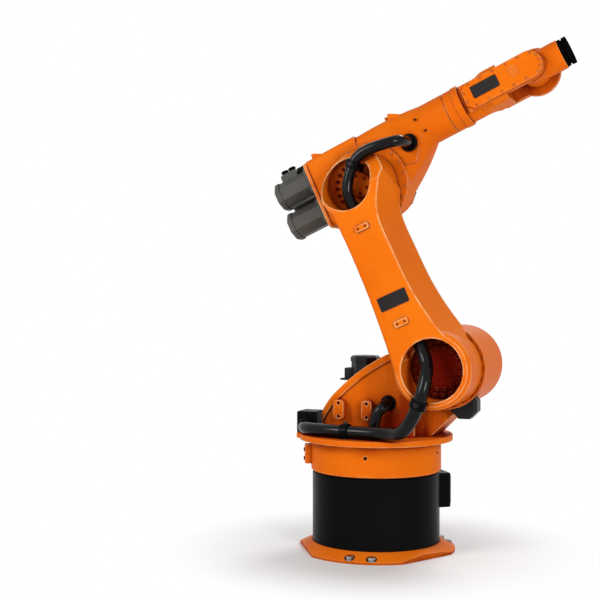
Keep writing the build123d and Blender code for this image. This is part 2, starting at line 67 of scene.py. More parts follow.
linkFrame = leanFrame(robotAxes["shoulder"], robotAxes["linkLean"])
elbowPlace = linkFrame @ Vector((0, 0, robotAxes["linkLength"]))
armFrame = leanFrame(elbowPlace, robotAxes["armRise"])
wristFrame = armFrame @ Matrix.Translation((0, 0, robotAxes["wristOffset"]))
shoulderFrame = Matrix.Translation(robotAxes["shoulder"])
nearWay = Matrix.Rotation(math.radians(90), 4, "X")  # local z looks along -Y
farWay = Matrix.Rotation(math.radians(-90), 4, "X")  # local z looks along +Y


# shader groups

def newGroup(name, inputs, outputs):
    group = bpy.data.node_groups.new(name, "ShaderNodeTree")
    for label, value in inputs.items():
        socket = group.interface.new_socket(label, in_out="INPUT", socket_type="NodeSocketFloat")
        socket.default_value = value
    for label, kind in outputs.items():
        group.interface.new_socket(label, in_out="OUTPUT", socket_type=kind)
    return group, group.nodes.new("NodeGroupInput"), group.nodes.new("NodeGroupOutput")


def addNode(tree, kind, **settings):
    node = tree.nodes.new(kind)
    for key, value in settings.items():
        setattr(node, key, value)
    return node


def mathNode(tree, operation, first, second):
    node = addNode(tree, "ShaderNodeMath", operation=operation)
    for index, value in enumerate((first, second)):
        if isinstance(value, (int, float)):
            node.inputs[index].default_value = value
        else:
            tree.links.new(value, node.inputs[index])
    return node.outputs[0]


def rangeNode(tree, value, low, high, start=0.0, end=1.0):
    node = addNode(tree, "ShaderNodeMapRange", interpolation_type="SMOOTHSTEP")
    tree.links.new(value, node.inputs["Value"])
    for label, number in (("From Min", low), ("From Max", high), ("To Min", start), ("To Max", end)):
        node.inputs[label].default_value = number
    return node.outputs["Result"]


def noiseNode(tree, vector, scale, detail, rough=0.5):
    node = addNode(tree, "ShaderNodeTexNoise")
    tree.links.new(vector, node.inputs["Vector"])
    if isinstance(scale, (int, float)):
        node.inputs["Scale"].default_value = scale
    else:
        tree.links.new(scale, node.inputs["Scale"])
    node.inputs["Detail"].default_value = detail
    node.inputs["Roughness"].default_value = rough
    return node.outputs["Fac"]


# edge mask for the pale worn colour on outside edges: partly real wear, partly a painted highlight where light catches
# the edges
def makeEdgeGroup():
    group, given, put = newGroup(
        "edgeWearAndHighlight",
        {"Radius": 0.004, "Break Up": 18.0},
        {"Edge": "NodeSocketFloat", "Normal": "NodeSocketVector"},
    )
    place = addNode(group, "ShaderNodeTexCoord").outputs["Object"]
    soft = addNode(group, "ShaderNodeBevel", samples=6)
    group.links.new(given.outputs["Radius"], soft.inputs["Radius"])
    flat = addNode(group, "ShaderNodeNewGeometry")
    dot = addNode(group, "ShaderNodeVectorMath", operation="DOT_PRODUCT")
    group.links.new(soft.outputs["Normal"], dot.inputs[0])
    group.links.new(flat.outputs["Normal"], dot.inputs[1])
    bent = mathNode(group, "SUBTRACT", 1.0, dot.outputs["Value"])
    edge = rangeNode(group, bent, 0.01, 0.12)
    patches = rangeNode(group, noiseNode(group, place, given.outputs["Break Up"], 4), 0.26, 0.58)
    group.links.new(mathNode(group, "MULTIPLY", edge, patches), put.inputs["Edge"])
    group.links.new(soft.outputs["Normal"], put.inputs["Normal"])
    return group


# painted shade: ambient occlusion darkens hollows, creases and faces under overhangs, broken up with streaks of grime
def makeHollowShadeGroup():
    group, given, put = newGroup(
        "hollowShadeAndGrime",
        {"Reach": 0.10, "Seam Reach": 0.016, "Streak Scale": 5.0},
        {"Shade And Grime": "NodeSocketFloat", "Dust": "NodeSocketFloat", "Open": "NodeSocketFloat"},
    )
    place = addNode(group, "ShaderNodeTexCoord").outputs["Object"]
    hollow = addNode(group, "ShaderNodeAmbientOcclusion", samples=6)
    group.links.new(given.outputs["Reach"], hollow.inputs["Distance"])
    closeIn = rangeNode(group, hollow.outputs["AO"], 0.95, 0.35)
    seam = addNode(group, "ShaderNodeAmbientOcclusion", samples=6)
    group.links.new(given.outputs["Seam Reach"], seam.inputs["Distance"])
    seamLine = rangeNode(group, seam.outputs["AO"], 0.85, 0.45)
    group.links.new(rangeNode(group, seam.outputs["AO"], 0.80, 0.96), put.inputs["Open"])
    long = addNode(group, "ShaderNodeMapping")
    long.inputs["Scale"].default_value = (1.0, 1.0, 0.22)
    group.links.new(place, long.inputs["Vector"])
    streak = noiseNode(group, long.outputs["Vector"], given.outputs["Streak Scale"], 5, 0.6)
    streak = rangeNode(group, streak, 0.35, 0.7)
    broad = mathNode(group, "MULTIPLY", closeIn, mathNode(group, "ADD", streak, 0.35))
    group.links.new(mathNode(group, "MAXIMUM", broad, seamLine), put.inputs["Shade And Grime"])
    flat = addNode(group, "ShaderNodeNewGeometry")
    parts = addNode(group, "ShaderNodeSeparateXYZ")
    group.links.new(flat.outputs["Normal"], parts.inputs[0])
    top = rangeNode(group, parts.outputs["Z"], 0.55, 1.0)
    group.links.new(mathNode(group, "MULTIPLY", top, streak), put.inputs["Dust"])
    return group


def makeSkinGroup():
    group, given, put = newGroup(
        "paintSkin",
        {"Peel Scale": 420.0, "Cast Scale": 26.0},
        {"Mottle": "NodeSocketFloat", "Height": "NodeSocketFloat"},
    )
    place = addNode(group, "ShaderNodeTexCoord").outputs["Object"]
    peel = noiseNode(group, place, given.outputs["Peel Scale"], 2)
    cast = noiseNode(group, place, given.outputs["Cast Scale"], 3)
    broad = noiseNode(group, place, 2.3, 5, 0.55)
    group.links.new(rangeNode(group, broad, 0.3, 0.72), put.inputs["Mottle"])
    low = mathNode(group, "MULTIPLY", cast, 2.2)
    group.links.new(mathNode(group, "ADD", low, peel), put.inputs["Height"])
    return group


edgeGroup = makeEdgeGroup()
hollowShadeGroup = makeHollowShadeGroup()
skinGroup = makeSkinGroup()


def useGroup(tree, group, **values):
    node = addNode(tree, "ShaderNodeGroup", node_tree=group)
    for label, value in values.items():
        node.inputs[label.replace("_", " ")].default_value = value
    return node


def mixColour(tree, first, second, amount):
    node = addNode(tree, "ShaderNodeMix", data_type="RGBA")
    for index, value in ((6, first), (7, second)):
        if isinstance(value, tuple):
            node.inputs[index].default_value = value
        else:
            tree.links.new(value, node.inputs[index])
    tree.links.new(amount, node.inputs[0])
    return node.outputs[2]


def colour(red, green, blue):
    parts = [c / 255 for c in (red, green, blue)]
    return tuple(c / 12.92 if c <= 0.04045 else ((c + 0.055) / 1.055) ** 2.4 for c in parts) + (1.0,)


# finishes

# the shade-and-grime colours are mostly painted shade for hollows and creases, deep red on the orange paint
finishes = {
    "orangeEnamel": {
        "base": colour(229, 115, 18), "shade": colour(219, 100, 12), "wornHighlight": colour(255, 208, 150),
        "shadeAndGrime": colour(122, 22, 8), "dust": colour(240, 144, 66), "roughness": (0.34, 0.46),
        "metallic": 0.0, "specular": 0.018, "coat": 0.0, "edgeRadius": 0.005, "wearAndHighlight": 0.55, "shadeAndGrimeAmount": 0.85,
        "dustAmount": 0.10, "bump": 0.05, "peel": 380.0, "cast": 22.0, "reach": 0.08,
    },
    "satinBlack": {
        "base": colour(12, 12, 13), "shade": colour(8, 8, 9), "wornHighlight": colour(32, 31, 30),
        "shadeAndGrime": colour(7, 6, 6), "dust": colour(44, 41, 39), "roughness": (0.28, 0.42),
        "metallic": 0.0, "specular": 0.03, "coat": 0.0, "edgeRadius": 0.003, "wearAndHighlight": 0.25, "shadeAndGrimeAmount": 0.4,
        "dustAmount": 0.10, "bump": 0.04, "peel": 300.0, "cast": 14.0,
    },
    "castGrey": {
        "base": colour(84, 82, 77), "shade": colour(62, 61, 58), "wornHighlight": colour(142, 140, 132),
        "shadeAndGrime": colour(12, 12, 11), "dust": colour(104, 100, 92), "roughness": (0.40, 0.56),
        "metallic": 0.1, "specular": 0.15, "coat": 0.0, "edgeRadius": 0.0025, "wearAndHighlight": 0.6, "shadeAndGrimeAmount": 0.7,
        "dustAmount": 0.2, "bump": 0.14, "peel": 520.0, "cast": 60.0,
    },
    "hoseRubber": {
        "base": colour(13, 13, 14), "shade": colour(8, 8, 9), "wornHighlight": colour(40, 39, 38),
        "shadeAndGrime": colour(5, 5, 5), "dust": colour(30, 28, 27), "roughness": (0.13, 0.22),
        "metallic": 0.0, "specular": 0.15, "coat": 0.0, "edgeRadius": 0.002, "wearAndHighlight": 0.15, "shadeAndGrimeAmount": 0.3,
        "dustAmount": 0.12, "bump": 0.05, "peel": 260.0, "cast": 38.0,
    },
    "machinedSteel": {
        "base": colour(170, 170, 172), "shade": colour(132, 133, 136), "wornHighlight": colour(216, 216, 218),
        "shadeAndGrime": colour(46, 36, 28), "dust": colour(150, 142, 134), "roughness": (0.26, 0.42),
        "metallic": 1.0, "specular": 0.5, "coat": 0.0, "edgeRadius": 0.0012, "wearAndHighlight": 0.6, "shadeAndGrimeAmount": 0.7,
        "dustAmount": 0.1, "bump": 0.05, "peel": 900.0, "cast": 120.0,
    },
    "blackSteel": {
        "base": colour(40, 36, 34), "shade": colour(26, 24, 24), "wornHighlight": colour(118, 110, 104),
        "shadeAndGrime": colour(10, 8, 8), "dust": colour(74, 62, 54), "roughness": (0.34, 0.5),
        "metallic": 0.5, "specular": 0.3, "coat": 0.0, "edgeRadius": 0.001, "wearAndHighlight": 0.5, "shadeAndGrimeAmount": 0.6,
        "dustAmount": 0.12, "bump": 0.05, "peel": 900.0, "cast": 140.0,
    },
    "rustySteel": {
        "base": colour(112, 44, 14), "shade": colour(84, 28, 10), "wornHighlight": colour(170, 92, 44),
        "shadeAndGrime": colour(52, 12, 6), "dust": colour(130, 68, 32), "roughness": (0.46, 0.6),
        "metallic": 0.3, "specular": 0.2, "coat": 0.0, "edgeRadius": 0.001, "wearAndHighlight": 0.4, "shadeAndGrimeAmount": 0.7,
        "dustAmount": 0.1, "bump": 0.05, "peel": 900.0, "cast": 140.0,
    },
    "barePlate": {
        "base": colour(34, 27, 26), "shade": colour(23, 19, 19), "wornHighlight": colour(108, 94, 86),
        "shadeAndGrime": colour(12, 9, 8), "dust": colour(60, 50, 44), "roughness": (0.3, 0.46),
        "metallic": 0.35, "specular": 0.25, "coat": 0.05, "edgeRadius": 0.0012, "wearAndHighlight": 0.8, "shadeAndGrimeAmount": 0.4,
        "dustAmount": 0.1, "bump": 0.06, "peel": 1400.0, "cast": 160.0,
    },
}
# linkEnamel: wider and stronger pale edges, a painted highlight along the link's rounded edges
finishes["linkEnamel"] = {**finishes["orangeEnamel"], "edgeRadius": 0.014, "wearAndHighlight": 0.85}
# columnEnamel, also on the wrist: a long reach spreads painted shade deep into hollows, under the link's drum and into
# the wrist's slits
finishes["columnEnamel"] = {
    **finishes["orangeEnamel"], "reach": 0.30, "shadeAndGrimeAmount": 1.0, "edgeRadius": 0.008, "wearAndHighlight": 0.7,
}
# deep red for the drum pocket's floor plate and the pocket screws: partly the parts' own tone, partly painted shade of
# the deep pockets
finishes["pocketShadeRed"] = {
    **finishes["orangeEnamel"], "base": colour(150, 34, 14), "shade": colour(112, 20, 10), "shadeAndGrime": colour(46, 10, 8),
    "wornHighlight": colour(196, 92, 44), "dust": colour(168, 62, 34), "wearAndHighlight": 0.35,
}
finishes["flangeBlack"] = {**finishes["satinBlack"], "specular": 0.0, "roughness": (0.5, 0.62), "wearAndHighlight": 0.4}
# red-orange for the drum pocket bolts, darkened with painted shade of the pocket
finishes["shadedPocketBolt"] = {
    **finishes["pocketShadeRed"], "base": colour(192, 76, 30), "shade": colour(150, 46, 18), "wornHighlight": colour(214, 116, 62),
}
# skirtEnamel: painted shadow band on the skirt just under the turntable's lip
finishes["skirtEnamel"] = {**finishes["columnEnamel"], "reach": 0.075}
finishes["castBlack"] = {
    **finishes["castGrey"], "base": colour(36, 36, 36), "shade": colour(24, 24, 25), "wornHighlight": colour(96, 94, 92),
    "dust": colour(70, 67, 64),
}


def makeFinish(name):
    spec = finishes[name]
    material = bpy.data.materials.new(name)
    material.use_nodes = True
    tree = material.node_tree
    shader = tree.nodes["Principled BSDF"]
    edge = useGroup(tree, edgeGroup, Radius=spec["edgeRadius"])
    shadeAndGrime = useGroup(tree, hollowShadeGroup, Reach=spec.get("reach", 0.10))
    skin = useGroup(tree, skinGroup, Peel_Scale=spec["peel"], Cast_Scale=spec["cast"])
    tone = mixColour(tree, spec["shade"], spec["base"], skin.outputs["Mottle"])
    dust = mathNode(tree, "MULTIPLY", shadeAndGrime.outputs["Dust"], spec["dustAmount"])
    tone = mixColour(tree, tone, spec["dust"], dust)
    # painted shade in hollows and creases, mixed with some grime
    shadeAndDirt = mathNode(tree, "MULTIPLY", shadeAndGrime.outputs["Shade And Grime"], spec["shadeAndGrimeAmount"])
    tone = mixColour(tree, tone, spec["shadeAndGrime"], shadeAndDirt)
    # pale edge colour: partly wear, partly a painted highlight along the edges
    rubbedAndLitEdge = mathNode(tree, "MULTIPLY", edge.outputs["Edge"], shadeAndGrime.outputs["Open"])  # outside edges only
    wearAndHighlight = mathNode(tree, "MULTIPLY", rubbedAndLitEdge, spec["wearAndHighlight"])
    tone = mixColour(tree, tone, spec["wornHighlight"], wearAndHighlight)
    tree.links.new(tone, shader.inputs["Base Color"])
    low, high = spec["roughness"]
    rough = rangeNode(tree, mathNode(tree, "ADD", skin.outputs["Mottle"], shadeAndDirt), 0.0, 1.4, low, high)
    tree.links.new(rough, shader.inputs["Roughness"])
    bump = addNode(tree, "ShaderNodeBump")
    bump.inputs["Strength"].default_value = spec["bump"]
    bump.inputs["Distance"].default_value = 0.002
    tree.links.new(skin.outputs["Height"], bump.inputs["Height"])
    tree.links.new(edge.outputs["Normal"], bump.inputs["Normal"])
    tree.links.new(bump.outputs["Normal"], shader.inputs["Normal"])
    shader.inputs["Metallic"].default_value = spec["metallic"]
    shader.inputs["Specular IOR Level"].default_value = spec["specular"]
    shader.inputs["Coat Weight"].default_value = spec["coat"]
    shader.inputs["Coat Roughness"].default_value = 0.18
    return material


paints = {name: makeFinish(name) for name in finishes}
slotFinish = {
    "paint": "orangeEnamel",
    "black": "satinBlack",
    "motor": "castGrey",
    "hose": "hoseRubber",
    "steel": "machinedSteel",
}
nodeFinish = {
    "link_arm": "linkEnamel", "column_housing": "columnEnamel", "turntable": "skirtEnamel",
    "wrist_housing": "columnEnamel", "shoulder_motor": "castBlack", "column_motor": "castBlack",
    "tool_flange": "flangeBlack", "motor_plate": "linkEnamel",
}
for row in frame["record"]["subparts"]:
    node = frame["nodes"][row["node"]]
    finish = paints[nodeFinish.get(row["node"], slotFinish[row["material_slot"]])]
    if node.material_slots:
        for place in node.material_slots:
            place.material = finish
    else:
        node.data.materials.append(finish)
print("finishes given to the frame:", len(paints))


# mesh helpers

def addPiece(name, verts, faces, finish, body, sharp=32):
    mesh = bpy.data.meshes.new(name)
    mesh.from_pydata([tuple(v) for v in verts], [], faces)
    mesh.validate()
    mesh.polygons.foreach_set("use_smooth", [True] * len(mesh.polygons))
    mesh.set_sharp_from_angle(angle=math.radians(sharp))
    piece = bpy.data.objects.new(name, mesh)
    bpy.context.scene.collection.objects.link(piece)
    mesh.materials.append(paints[finish])
    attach(piece, body)
    return piece


def joinRings(verts, count):
    # rings of count points each, joined in order and closed at both ends
    faces = []
    last = len(verts) - count
    for start in range(0, last, count):
        for step in range(count):
            a = start + step
            b = start + (step + 1) % count
            faces.append((a, b, b + count, a + count))
    faces.append(tuple(reversed(range(count))))
    faces.append(tuple(range(last, len(verts))))
    return verts, faces


def turned(rings, segments=24):
    # each ring is (radius, height) or (half flats, height, "hex")
    verts = []
    for ring in rings:
        for step in range(segments):
            angle = 2 * math.pi * step / segments
            radius = ring[0]
            if len(ring) > 2:
                radius /= math.cos((angle + math.pi / 6) % (math.pi / 3) - math.pi / 6)
            verts.append(Vector((radius * math.cos(angle), radius * math.sin(angle), ring[1])))
    return joinRings(verts, segments)


def softened(form, bevel):
    bmesh.ops.bevel(form, geom=form.edges[:], offset=bevel, segments=2, profile=0.6, affect="EDGES")
    form.verts.index_update()
    verts = [v.co.copy() for v in form.verts]
    faces = [tuple(v.index for v in face.verts) for face in form.faces]
    form.free()
    return verts, faces


def softBox(size, bevel):
    box = bmesh.new()
    bmesh.ops.create_cube(box, size=1.0)
    bmesh.ops.scale(box, vec=size, verts=box.verts)
    return softened(box, bevel)


def softPrism(outline, width, bevel):
    # a side outline in x and z, as wide as given in y
    form = bmesh.new()
    near = form.faces.new([form.verts.new((x, -width / 2, z)) for x, z in outline])
    grown = bmesh.ops.extrude_face_region(form, geom=[near])
    far = [item for item in grown["geom"] if isinstance(item, bmesh.types.BMVert)]
    bmesh.ops.translate(form, vec=(0, width, 0), verts=far)
    bmesh.ops.recalc_face_normals(form, faces=form.faces[:])
    return softened(form, bevel)


sunk = {"head": 0.0006, "plate": 0.0004}  # how far a head or a plate sits into its seat


def socketScrew(radius, height):
    rim = radius * 0.16
    socket = radius * 0.52
    return turned([
        (radius, -sunk["head"]), (radius, height - rim), (radius - rim, height),
        (socket * 1.25, height), (socket, height - rim * 0.5, "hex"), (socket, height * 0.35, "hex"),
    ])


def buttonScrew(radius, height):
    socket = radius * 0.42
    return turned([
        (radius, -sunk["head"]), (radius, height * 0.3), (radius * 0.86, height * 0.78), (radius * 0.62, height),
        (socket, height, "hex"), (socket, height * 0.45, "hex"),
    ])


def hexBolt(flats, height, washer, thickness):
    half = flats / 2
    return turned([
        (washer, -sunk["head"]), (washer, thickness * 0.7), (washer * 0.95, thickness),
        (half * 1.04, thickness, "hex"), (half * 1.04, thickness + height * 0.8, "hex"),
        (half * 0.98, thickness + height), (half * 0.5, thickness + height * 0.96),
    ], 36)


def scatter(name, shape, spots, finish, body):
    verts, faces = [], []
    for spot in spots:
        start = len(verts)
        verts += [spot @ v for v in shape[0]]
        faces += [tuple(i + start for i in face) for face in shape[1]]
    return addPiece(name, verts, faces, finish, body)


def circleSpots(place, centre, radius, count, depth, way, first=0.0, keep=None):
    spots = []
    for index in range(count):
        angle = math.radians(first) + 2 * math.pi * index / count
        x = centre[0] + radius * math.cos(angle)
        z = centre[1] + radius * math.sin(angle)
        if keep is None or keep(x, z):
            turn = Matrix.Rotation(angle, 4, "Z")
            spots.append(place @ Matrix.Translation((x, depth, z)) @ way @ turn)
    return spots


def sideSpots(place, points, depth, way):
    return [place @ Matrix.Translation((x, depth, z)) @ way for x, z in points]


# bolts

footBolts = {"reach": (0.3195, 0.3225), "across": (-0.047, 0.047), "earAngle": -83.0, "seat": 0.010,
             "flats": 0.030, "height": 0.013, "washer": 0.0195, "washerHeight": 0.0035}
footSpots = []
for ear in range(3):
    turn = Matrix.Rotation(math.radians(footBolts["earAngle"] + 120 * ear), 4, "Z")
    for reach, across in zip(footBolts["reach"], footBolts["across"]):
        footSpots.append(turn @ Matrix.Translation((reach, across, footBolts["seat"])))
footShape = hexBolt(footBolts["flats"], footBolts["height"], footBolts["washer"], footBolts["washerHeight"])
scatter("footBolts", footShape, footSpots, "machinedSteel", "base")

shoulderRing = {"radius": 0.169, "count": 24, "face": -0.140, "head": 0.0062, "height": 0.0042}
scatter(
    "shoulderRingBolts", buttonScrew(shoulderRing["head"], shoulderRing["height"]),
    circleSpots(shoulderFrame, (0, 0), shoulderRing["radius"], shoulderRing["count"], shoulderRing["face"], nearWay),
    "orangeEnamel", "column",
)

elbowRing = {"radius": 0.166, "count": 20, "face": -0.140, "head": 0.0072, "height": 0.0042}
scatter(
    "elbowRingBolts", buttonScrew(elbowRing["head"], elbowRing["height"]),
    circleSpots(armFrame, (0, 0), elbowRing["radius"], elbowRing["count"], elbowRing["face"], nearWay, 9),
    "orangeEnamel", "arm",
)

drumFace = {"floor": -0.190, "reach": 0.1285, "step": 0.099, "hub": 0.062, "middle": 0.012, "thickness": 0.0022,
            "rimSlope": 0.001, "stepSlope": 0.0015, "hubSlope": 0.002, "raised": 1.8}
faceLow = drumFace["thickness"]
faceHigh = faceLow * drumFace["raised"]
facePlate = turned([
    (drumFace["reach"], -sunk["plate"]), (drumFace["reach"], faceLow * 0.7),
    (drumFace["reach"] - drumFace["rimSlope"], faceLow), (drumFace["step"], faceLow),
    (drumFace["step"] - drumFace["stepSlope"], faceHigh), (drumFace["hub"], faceHigh),
    (drumFace["hub"] - drumFace["hubSlope"], faceLow), (drumFace["middle"], faceLow),
], 72)
# drumFace: deep red plate on the drum pocket's floor, painted shade of the pocket
scatter("drumFace", facePlate, sideSpots(linkFrame, [(0, 0)], drumFace["floor"], nearWay), "pocketShadeRed", "link")

drumBolts = {"floor": -0.192, "outer": (0.113, 20), "inner": (0.088, 16), "head": 0.0092, "height": 0.011}
drumSpots = circleSpots(linkFrame, (0, 0), *drumBolts["outer"], drumBolts["floor"], nearWay)
drumSpots += circleSpots(linkFrame, (0, 0), *drumBolts["inner"], drumBolts["floor"], nearWay, 11)
scatter("drumBolts", socketScrew(drumBolts["head"], drumBolts["height"]), drumSpots, "shadedPocketBolt", "link")

headBolts = {"centre": (-0.016, 0.850), "floor": -0.198, "radius": 0.104, "count": 22, "head": 0.0078,
             "height": 0.009, "innerStep": 0.026, "innerCount": 16, "innerTurn": 6,
             "pocket": (-0.042, 0.862), "reach": 0.104, "clamp": (0.008, 0.928), "clear": 0.042}


def insidePocket(x, z):
    inPocket = math.hypot(x - headBolts["pocket"][0], z - headBolts["pocket"][1]) < headBolts["reach"]
    return inPocket and math.hypot(x - headBolts["clamp"][0], z - headBolts["clamp"][1]) > headBolts["clear"]


headSpots = circleSpots(
    linkFrame, headBolts["centre"], headBolts["radius"], headBolts["count"], headBolts["floor"], nearWay,
    keep=insidePocket,
)
headSpots += circleSpots(
    linkFrame, headBolts["centre"], headBolts["radius"] - headBolts["innerStep"], headBolts["innerCount"],
    headBolts["floor"], nearWay, headBolts["innerTurn"], keep=insidePocket,
)
scatter("headBolts", socketScrew(headBolts["head"], headBolts["height"]), headSpots, "pocketShadeRed", "link")

hubScrews = {"radius": 0.038, "count": 6, "face": -0.224, "head": 0.0058, "height": 0.0045}
hubSpots = circleSpots(
    linkFrame, headBolts["centre"], hubScrews["radius"], hubScrews["count"], hubScrews["face"], nearWay, 20,
)
scatter("hubScrews", socketScrew(hubScrews["head"], hubScrews["height"]), hubSpots, "pocketShadeRed", "link")

padScrews = {"pads": ((-0.040, 0.228), (-0.040, 0.656)), "pitch": 0.034, "face": -0.346,
             "head": 0.0048, "height": 0.002}
padSpots = []
for across, along in padScrews["pads"]:
    ends = [(across + side * padScrews["pitch"] / 2, along) for side in (-1, 1)]
    padSpots += sideSpots(linkFrame, ends, padScrews["face"], nearWay)
scatter("padScrews", buttonScrew(padScrews["head"], padScrews["height"]), padSpots, "rustySteel", "link")

coverScrews = {
    "face": -0.112, "head": 0.0052, "height": 0.004, "edge": 0.049, "stations": (0.560, 0.618, 0.676, 0.734, 0.790),
    "rear": 0.529, "rearSpread": 0.020, "noseAngles": (-60, -30, 0, 30, 60),
}
coverPoints = [(x, side * coverScrews["edge"]) for x in coverScrews["stations"] for side in (-1, 1)]
coverPoints += [(coverScrews["rear"], side * coverScrews["rearSpread"]) for side in (-1, 1)]
for angle in coverScrews["noseAngles"]:
    nose = math.radians(angle)
    x = robotAxes["wristReach"] + coverScrews["edge"] * math.cos(nose)
    coverPoints.append((x, coverScrews["edge"] * math.sin(nose)))
scatter(
    "coverScrews", socketScrew(coverScrews["head"], coverScrews["height"]),
    sideSpots(wristFrame, coverPoints, coverScrews["face"], nearWay), "orangeEnamel", "wrist",
)

farScrews = {"radius": 0.072, "count": 10, "face": 0.110, "head": 0.0062, "height": 0.005}
farSpots = circleSpots(
    wristFrame, (robotAxes["wristReach"], 0), farScrews["radius"], farScrews["count"], farScrews["face"], farWay, 18,
)
scatter("farCoverScrews", socketScrew(farScrews["head"], farScrews["height"]), farSpots, "blackSteel", "wrist")

capScrews = {"radius": 0.132, "count": 12, "face": 0.224, "head": 0.0075, "height": 0.006}
capSpots = circleSpots(shoulderFrame, (0, 0), capScrews["radius"], capScrews["count"], capScrews["face"], farWay, 15)
scatter("capScrews", socketScrew(capScrews["head"], capScrews["height"]), capSpots, "blackSteel", "column")

plateScrews = {"face": -0.240, "across": 0.118, "levels": (0.202, -0.066, 0.070), "head": 0.0075, "height": 0.006}
rearWay = Matrix.Rotation(math.radians(-90), 4, "Y")  # local z looks back along the arm
plateSpots = []
for level in plateScrews["levels"]:
    for side in (-1, 1):
        place = (plateScrews["face"], side * plateScrews["across"], level)
        plateSpots.append(armFrame @ Matrix.Translation(place) @ rearWay)
plateShape = socketScrew(plateScrews["head"], plateScrews["height"])
scatter("plateScrews", plateShape, plateSpots, "blackSteel", "arm")
print("bolts set")


# bare plates

def roundedPlate(length, breadth, thickness, corner, lip):
    outline = []
    for sx, sz, start in ((1, 1, 0), (-1, 1, 90), (-1, -1, 180), (1, -1, 270)):
        for step in range(7):
            angle = math.radians(start + 15 * step)
            outline.append((sx * (length / 2 - corner), sz * (breadth / 2 - corner), math.cos(angle), math.sin(angle)))
    levels = ((corner, -sunk["plate"]), (corner, thickness * 0.55), (corner - lip * 0.5, thickness),
              (corner - lip, thickness), (corner - lip * 1.5, thickness * 0.6))
    verts = []
    for reach, height in levels:
        verts += [Vector((x + reach * c, z + reach * s, height)) for x, z, c, s in outline]
    return joinRings(verts, len(outline))


plateForm = {"thickness": 0.0024, "corner": 0.006, "lip": 0.0022}
barePlates = {
    "linkPlate": {"frame": linkFrame, "spot": (-0.036, -0.339, 0.327), "size": (0.130, 0.060), "body": "link"},
    "wristPlate": {"frame": wristFrame, "spot": (0.622, -0.112, 0.005), "size": (0.120, 0.054), "body": "wrist"},
}
for name, spec in barePlates.items():
    spot = spec["frame"] @ Matrix.Translation(spec["spot"]) @ nearWay
    plate = roundedPlate(*spec["size"], **plateForm)
    scatter(name, plate, [spot], "barePlate", spec["body"])
print("bare plates set")

capDisc = {
    "spot": (0.753, -0.112, 0.009), "radius": 0.022,
    "rings": ((1.0, -sunk["head"]), (1.0, 0.0016), (0.92, 0.0026), (0.86, 0.0014), (0.3, 0.0014), (0.24, 0.0004)),
}
disc = turned([(capDisc["radius"] * share, height) for share, height in capDisc["rings"]], 40)
discSpot = wristFrame @ Matrix.Translation(capDisc["spot"]) @ nearWay
scatter("coverCap", disc, [discSpot], "orangeEnamel", "wrist")


# hoses

def onLink(across, y, along):
    return linkFrame @ Vector((across, y, along))


def onArm(along, y, up):
    return armFrame @ Vector((along, y, up))


def onRun(place, way, distance):
    return place + way.normalized() * distance


hoseRun = {"radius": 0.028, "thin": 0.024, "deckLine": 0.5383, "drumLine": -0.3705, "pocketLine": -0.272,
           "drumRim": 0.1465, "mouth": -0.140, "boxNear": -0.1123, "boxMiddle": -0.288,
           "socketAlong": 0.238, "socketUp": 0.082, "holeAlong": 0.100, "holeUp": 0.655}
deckWay = Vector((1, -0.12, 0))
linkWay = onLink(1, 0, 1) - onLink(0, 0, 0)
deckClamp = Vector((-0.050, -0.258, hoseRun["deckLine"]))
drumClamp = onLink(-0.672 * hoseRun["drumRim"], hoseRun["drumLine"], -0.741 * hoseRun["drumRim"])
elbowClamp = onLink(0.008, hoseRun["pocketLine"], 0.928)
channelLow = onLink(-0.008, hoseRun["pocketLine"], 0.080)
channelHigh = onLink(-0.066, hoseRun["pocketLine"], 0.780)
hoseJoin = (channelLow + channelHigh) * 0.5
hoseRoutes = {
    "columnHose": [Vector((hoseRun["boxMiddle"], hoseRun["boxNear"], hoseRun["deckLine"])),
                   Vector((hoseRun["boxMiddle"], hoseRun["boxNear"] - 0.055, hoseRun["deckLine"])),
                   onRun(deckClamp, deckWay, -0.130), deckClamp],
    "shoulderHose": [deckClamp, onRun(deckClamp, deckWay, 0.188), onRun(drumClamp, linkWay, -0.128), drumClamp],
    "drumHose": [drumClamp, onRun(drumClamp, linkWay, 0.095), channelLow, hoseJoin],
    "linkHose": [hoseJoin, channelHigh, onRun(elbowClamp, linkWay, -0.092), elbowClamp],
    "elbowHose": [elbowClamp, onRun(elbowClamp, linkWay, 0.052), onArm(0.200, hoseRun["pocketLine"], 0.090),
                  onArm(hoseRun["socketAlong"], hoseRun["pocketLine"] + 0.042, hoseRun["socketUp"]),
                  onArm(hoseRun["socketAlong"], hoseRun["mouth"], hoseRun["socketUp"])],
    "shortHose": [Vector((hoseRun["holeAlong"], -0.118, hoseRun["holeUp"])),
                  Vector((hoseRun["holeAlong"], -0.176, hoseRun["holeUp"])),
                  Vector((0.052, -0.188, 0.596)), Vector((0.052, -0.188, 0.5103))],
}
hoseSpec = {
    "columnHose": ("column_hose", "radius", "column"),
    "shoulderHose": ("shoulder_hose", "radius", ("column", "link")),
    "drumHose": ("drum_hose", "radius", "link"),
    "linkHose": ("link_hose", "thin", "link"),
    "elbowHose": ("elbow_hose", "thin", ("link", "arm")),
    "shortHose": ("short_hose", "thin", "column"),
}


def hoseCurve(name, points, radius):
    curve = bpy.data.curves.new(name, "CURVE")
    curve.dimensions = "3D"
    spline = curve.splines.new("NURBS")
    spline.points.add(len(points) - 1)
    for point, place in zip(spline.points, points):
        point.co = (*place, 1.0)
    spline.order_u = 3
    spline.use_endpoint_u = True
    spline.resolution_u = 40
    curve.bevel_depth = radius
    curve.bevel_resolution = 8
    curve.use_fill_caps = True
    piece = bpy.data.objects.new(name, curve)
    bpy.context.scene.collection.objects.link(piece)
    return piece


